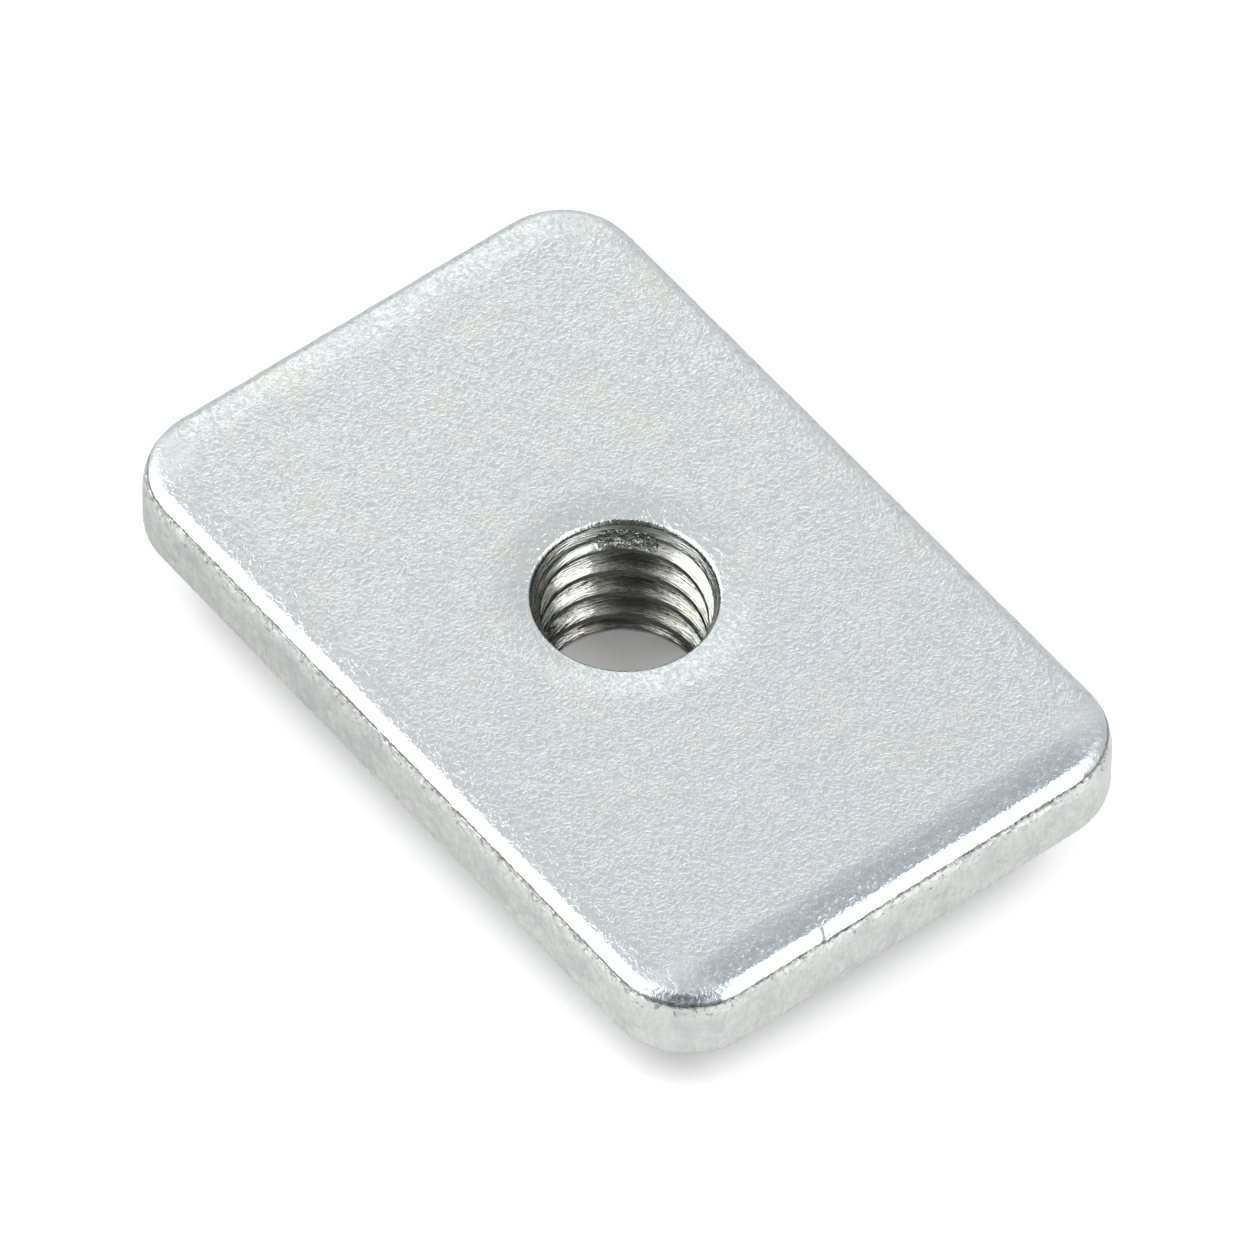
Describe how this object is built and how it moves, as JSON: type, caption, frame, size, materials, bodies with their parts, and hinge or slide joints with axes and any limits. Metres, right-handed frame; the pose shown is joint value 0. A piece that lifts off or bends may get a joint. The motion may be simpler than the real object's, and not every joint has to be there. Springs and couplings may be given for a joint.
{
  "type": "t slot nut",
  "caption": "Rectangular slot nut, pressed from zinc plated strip, with rounded corners and a drawn, tapped collar in its middle; it slides in a T slot and takes a screw from above.",
  "frame": {"origin": "on the axis of the tapped hole, at the open end of the collar, which is the lowest point of the nut", "axes": "+Z along the hole, out of the flat clamping face; +X along the plate's long side; +Y across the slot"},
  "size_m": [0.0364, 0.0238, 0.0067],
  "materials": {
    "zinc_plate": "bright zinc plated steel, satin, with a fine mottled grain and a sheared wall"
  },
  "bodies": {
    "root": {"slot_nut": "zinc_plate"}
  },
  "joints": []
}
